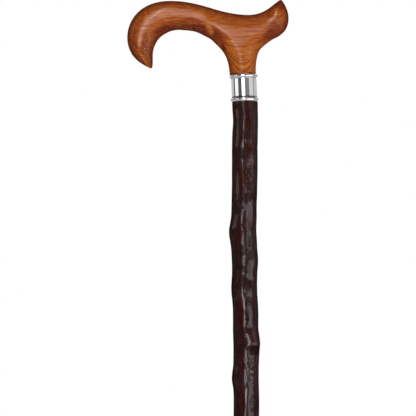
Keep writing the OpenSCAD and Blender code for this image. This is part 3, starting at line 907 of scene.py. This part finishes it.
grain = wood.math("MULTIPLY_ADD", growth_rings, wood.span(neck, 0.0, 1.0, 0.10, 0.50), fibres)
wood_colour = wood.ramp(grain, [(0.28, WOOD_DEEP), (0.50, WOOD_MID), (0.72, WOOD_LIGHT)])
wood_colour = wood.lay_over(wood_colour, [
    (wood.span(pores, 0.52, 0.68, 0, 0.7), WOOD_DEEP),
    (wood.span(pores, 0.48, 0.32, 0, 0.5), WOOD_LIGHT)])
# A positive share darkens the wood by stain and painted shade; a negative one, below, pales it by the
# figure and a painted highlight
wood_colour = wood.mix(wood.span(stain_and_light, 0.0, 1.0), wood_colour, STAIN_AND_SHADE_TINT, "MULTIPLY")

# On the hook and under the grip the grain comes out on end, in short pale and dark specks
wood_colour = wood.lay_over(wood_colour, [
    (wood.span(stain_and_light, 0.0, -1.0), WOOD_PALE),
    (wood.times(wood.span(specks, 0.52, 0.64, 0, 0.65), short_grain), WOOD_PALE),
    (wood.times(wood.span(specks, 0.47, 0.36, 0, 0.65), short_grain), WOOD_STAIN)])
wood_gloss = wood.times(
    wood.edge_gloss(0.58, 0.05, 0.2, 0.7), wood.span(neck, 0.0, 1.0, 1.0, 0.42),
    wood.span(stain_and_light, 0.1, 0.6, 1.0, 0.5))
wood.set(
    Base_Color=wood_colour, Roughness=wood.span(fibres, 0.3, 0.7, 0.40, 0.50),
    Normal=wood.bump(pores, 0.00006, 0.25), Specular_IOR_Level=0,
    Coat_Weight=wood_gloss, Coat_Roughness=0.17, Coat_Normal=wood.bump(fibres, 0.00004, 0.5))
handle.data.materials.append(wood.owner)
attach(handle, "cane")
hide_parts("handle")


# Tip disc.
# A steel disc dropped into the rubber tip, so that the stick's end doesn't cut through the sole.
# Only its top shows, and only with the tip pulled off.
DISC_EDGE_ROUND = 0.0002
DISC_CENTRE = 0.3
disc_low, disc_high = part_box("tip_disc")
disc_radius = (disc_high.x - disc_low.x) / 2
disc = turned("steel_disc", [
    (DISC_CENTRE * disc_radius, disc_low.z), (disc_radius, disc_low.z),
    (disc_radius, disc_high.z), (DISC_CENTRE * disc_radius, disc_high.z)])
round_edges(disc, DISC_EDGE_ROUND)
disc.data.materials.append(steel.owner)
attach(disc, "tip")
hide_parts("tip_disc")


# Rubber tip.
# A moulded rubber cup pushed onto the seat, with a lip round its mouth, grip rings and a wide treaded sole.
# It is a wearing part that is pulled off and replaced.
CUP_RADIUS = 0.0125
CUP_HOLE_RADIUS = 0.00925
FOOT_RADIUS = 0.017
FOOT_HEIGHT = 0.007
FOOT_EDGE = 0.0015
FOOT_CHAMFER = 0.0006
MOUTH_CHAMFER = 0.0004
FLARE_RADIUS = 0.009
FLARE_SINK = 0.001
LIP_RADIUS = 0.0016
RIB_RADIUS = 0.0011
GRIPS = (0.50, 0.62, 0.74)
TREAD_PITCH = 0.0036
TREAD_WIDTH = 0.0014
TREAD_DEPTH = 0.0012
TREADS = 3
SOLE = 0.009
ARC_POINTS = 8
tip_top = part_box("rubber_tip")[1].z


def arc(centre_x, centre_z, radius, start, end):
    """Points of a profile along an arc, from one angle in degrees to another."""
    angles = [math.radians(start + (end - start) * i / ARC_POINTS) for i in range(ARC_POINTS + 1)]
    return [(centre_x + radius * math.cos(a), centre_z + radius * math.sin(a)) for a in angles]


def bulge(height, radius):
    """Profile of a half-round ring that stands half its radius out of the cup's wall."""
    return arc(CUP_RADIUS - radius / 2, height, radius, -60, 60)


tread = [(TREAD_PITCH, 0)]
for i in range(1, TREADS + 1):
    inner = i * TREAD_PITCH
    outer = inner + TREAD_WIDTH
    tread += [(inner, TREAD_DEPTH), (outer, TREAD_DEPTH), (outer, 0)]
    if i < TREADS:
        tread.append((inner + TREAD_PITCH, 0))
edge_x = FOOT_RADIUS - FOOT_EDGE
flare_x = CUP_RADIUS - FLARE_SINK + FLARE_RADIUS
flare_z = FOOT_HEIGHT + math.sqrt(FLARE_RADIUS ** 2 - (flare_x - edge_x) ** 2)
flare_start = math.degrees(math.atan2(FOOT_HEIGHT - flare_z, edge_x - flare_x)) % 360
flare_rise = math.sqrt(FLARE_RADIUS ** 2 - (FLARE_RADIUS - FLARE_SINK) ** 2)
flare_end = 180 + math.degrees(math.asin(flare_rise / FLARE_RADIUS))
tip = turned("rubber_tip_cup", (
    tread + arc(edge_x, FOOT_EDGE, FOOT_EDGE, -90, 0)
    + [(FOOT_RADIUS, FOOT_HEIGHT - FOOT_CHAMFER), (FOOT_RADIUS - FOOT_CHAMFER, FOOT_HEIGHT)]
    + arc(flare_x, flare_z, FLARE_RADIUS, flare_start, flare_end)
    + [point for share in GRIPS for point in bulge(tip_top * share, RIB_RADIUS)]
    + arc(CUP_RADIUS - LIP_RADIUS / 2, tip_top - LIP_RADIUS, LIP_RADIUS, -60, 90)
    + [(CUP_HOLE_RADIUS + MOUTH_CHAMFER, tip_top), (CUP_HOLE_RADIUS, tip_top - MOUTH_CHAMFER)]
    + [(CUP_HOLE_RADIUS, SOLE)]))

RUBBER = (0.022, 0.022, 0.023)
RUBBER_DUST = (0.050, 0.048, 0.046)
rubber = Nodes("moulded_rubber")
pebbles = rubber.noise((2600, 2600, 2600), 2.0)
dust = rubber.noise((120, 120, 90), 3.0)
rubber.set(
    Base_Color=rubber.mix(rubber.span(dust, 0.45, 0.8), RUBBER, RUBBER_DUST),
    Roughness=rubber.span(dust, 0.3, 0.7, 0.52, 0.68), Normal=rubber.bump(pebbles, 0.00008, 0.4))
tip.data.materials.append(rubber.owner)
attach(tip, "tip")
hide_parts("rubber_tip")


# Floor.
# A wide pale studio floor, which takes the cane's shadow. The cane is held up by its handle, just so far
# above the floor that the rubber tip still clears it when it is pulled off.
FLOOR_DROP = 0.052
FLOOR_SIZE = 40
FLOOR_PALE = (0.80, 0.80, 0.80)
FLOOR_SHADED = (0.10, 0.10, 0.10)
FLOOR_GLOW = 0.82
FLOOR_MIRRORED = 0.30
bpy.ops.object.select_all(action="DESELECT")
bpy.ops.mesh.primitive_plane_add(size=FLOOR_SIZE, location=(0, 0, -FLOOR_DROP))
floor = bpy.context.object
bpy.ops.object.transform_apply(location=True)
floor.name = "studio_floor"

# The camera sees the floor mostly by an even glow, which keeps it pale, and a little light and shadow on it
floor_paint = Nodes("pale_floor")
floor_ray = floor_paint.add("ShaderNodeLightPath").outputs
floor_seen = floor_paint.times(floor_ray["Is Camera Ray"], FLOOR_GLOW)
floor_glow = floor_paint.math("MULTIPLY_ADD", floor_ray["Is Glossy Ray"], FLOOR_MIRRORED, floor_seen)
floor_paint.set(
    Base_Color=floor_paint.mix(floor_ray["Is Camera Ray"], FLOOR_PALE, FLOOR_SHADED), Roughness=0.8,
    Specular_IOR_Level=0.1, Emission_Color=(1, 1, 1, 1), Emission_Strength=floor_glow)
floor.data.materials.append(floor_paint.owner)


# Lights.
# A broad soft box with a thin bright core stands in front, and dimmer ones at the sides, above and behind.
# The world stands for the studio's white sheet, which the camera sees and the metal and varnish mirror.


def soft_box(name, place, aim, size, radiance, colour=(1, 1, 1), lights=True, mirrored=True):
    """A rectangular lamp turned to a point, with the radiance that a mirror shows.
    It lights what is matt, is mirrored by what is glossy, or both."""
    light = bpy.data.lights.new(name, "AREA")
    light.shape = "RECTANGLE"
    light.size, light.size_y = size
    light.color = colour
    light.energy = radiance * math.pi * size[0] * size[1]
    lamp = bpy.data.objects.new(name, light)
    lamp.location = place
    lamp.rotation_mode = "QUATERNION"
    lamp.rotation_quaternion = (Vector(aim) - Vector(place)).to_track_quat("-Z", "Y")
    lamp.visible_camera = False
    lamp.visible_diffuse = lights
    lamp.visible_glossy = mirrored
    bpy.context.scene.collection.objects.link(lamp)


soft_box("front_box", (-0.26, -1.65, 1.25), (-0.26, 0, 1.25), (0.79, 1.70), 2.90, (1, 0.97, 0.975))
soft_box("front_core", (-0.25, -1.64, 1.25), (-0.25, 0, 1.25), (0.10, 1.70), 11.0, (1, 0.93, 0.94))
soft_box("left_box", (-2.15, -0.65, 1.78), (0, 0, 1.78), (1.40, 1.6), 1.15, (1, 0.97, 0.965), lights=False)
soft_box("right_box", (1.94, -0.864, 1.55), (0, 0, 1.55), (1.63, 1.2), 0.54, lights=False)
soft_box("top_box", (0, -0.4, 2.9), (0, -0.4, 0), (2.4, 2.4), 0.25, lights=False)
soft_box("right_low_box", (1.536, -1.432, 0.45), (0, 0, 0.45), (2.33, 0.95), 2.45, (1, 0.92, 0.97))
soft_box("back_box", (0, 2.4, 1.3), (0, 0, 0.6), (2.4, 2.0), 1.8, mirrored=False)
soft_box("back_low_box", (0.2, 2.4, 0.55), (0, 0, 0.55), (1.6, 0.9), 2.4, lights=False)

# Matt surfaces take a little light from the sheet. Gloss shows it dim in front, dimmest on the left, and
# brighter behind the cane, where it darkens upwards and downwards. The camera sees it white
SHEET_AMBIENT = 0.10
SHEET_FRONT = (0.12, 0.25)
SHEET_SIDES = (-0.3, 0.3)
SHEET_BEHIND = (0.64, 0.08)
SHEET_HEIGHTS = (0.45, 0.85)
SHEET_SKEW = 0.10
SHEET_EDGE = (0.14, 0.26)
sheet = Nodes("white_sheet", bpy.data.worlds, "Background")
bpy.context.scene.world = sheet.owner
sheet.owner.cycles.sampling_method = "NONE"
sheet_ray = sheet.add("ShaderNodeLightPath").outputs
around = sheet.add("ShaderNodeTexCoord").outputs["Generated"]
towards = sheet.add("ShaderNodeSeparateXYZ", None, Vector=around).outputs
in_front = sheet.span(towards["X"], *SHEET_SIDES, *SHEET_FRONT, "LINEAR")
behind = sheet.span(sheet.math("ABSOLUTE", towards["Z"]), *SHEET_HEIGHTS, *SHEET_BEHIND, "LINEAR")
back = sheet.math("MULTIPLY_ADD", towards["X"], SHEET_SKEW, towards["Y"])
in_gloss = sheet.span(back, *SHEET_EDGE, in_front, behind, "LINEAR")
unseen = sheet.span(sheet_ray["Is Glossy Ray"], 0, 1, SHEET_AMBIENT, in_gloss, "LINEAR")
sheet_seen = sheet.math("MAXIMUM", sheet_ray["Is Camera Ray"], sheet_ray["Is Transmission Ray"])
sheet.set(Color=(1, 1, 1, 1), Strength=sheet.span(sheet_seen, 0, 1, unseen, 1.0, "LINEAR"))


# Camera.
# A long lens about a third of a metre under the handle, looking slightly up, as the photograph was taken.
CAMERA_PLACE = Vector((-0.029, -2.4, 0.560))
CAMERA_AIM = Vector((-0.029, 0, 0.750))
FOCAL_LENGTH = 266.25
SENSOR_WIDTH = 36
lens = bpy.data.cameras.new("camera")
lens.lens = FOCAL_LENGTH
lens.sensor_width = SENSOR_WIDTH
camera = bpy.data.objects.new("camera", lens)
camera.location = CAMERA_PLACE
camera.rotation_mode = "QUATERNION"
camera.rotation_quaternion = (CAMERA_AIM - CAMERA_PLACE).to_track_quat("-Z", "Y")
bpy.context.scene.collection.objects.link(camera)
bpy.context.scene.camera = camera
bpy.context.scene.view_settings.view_transform = "Standard"
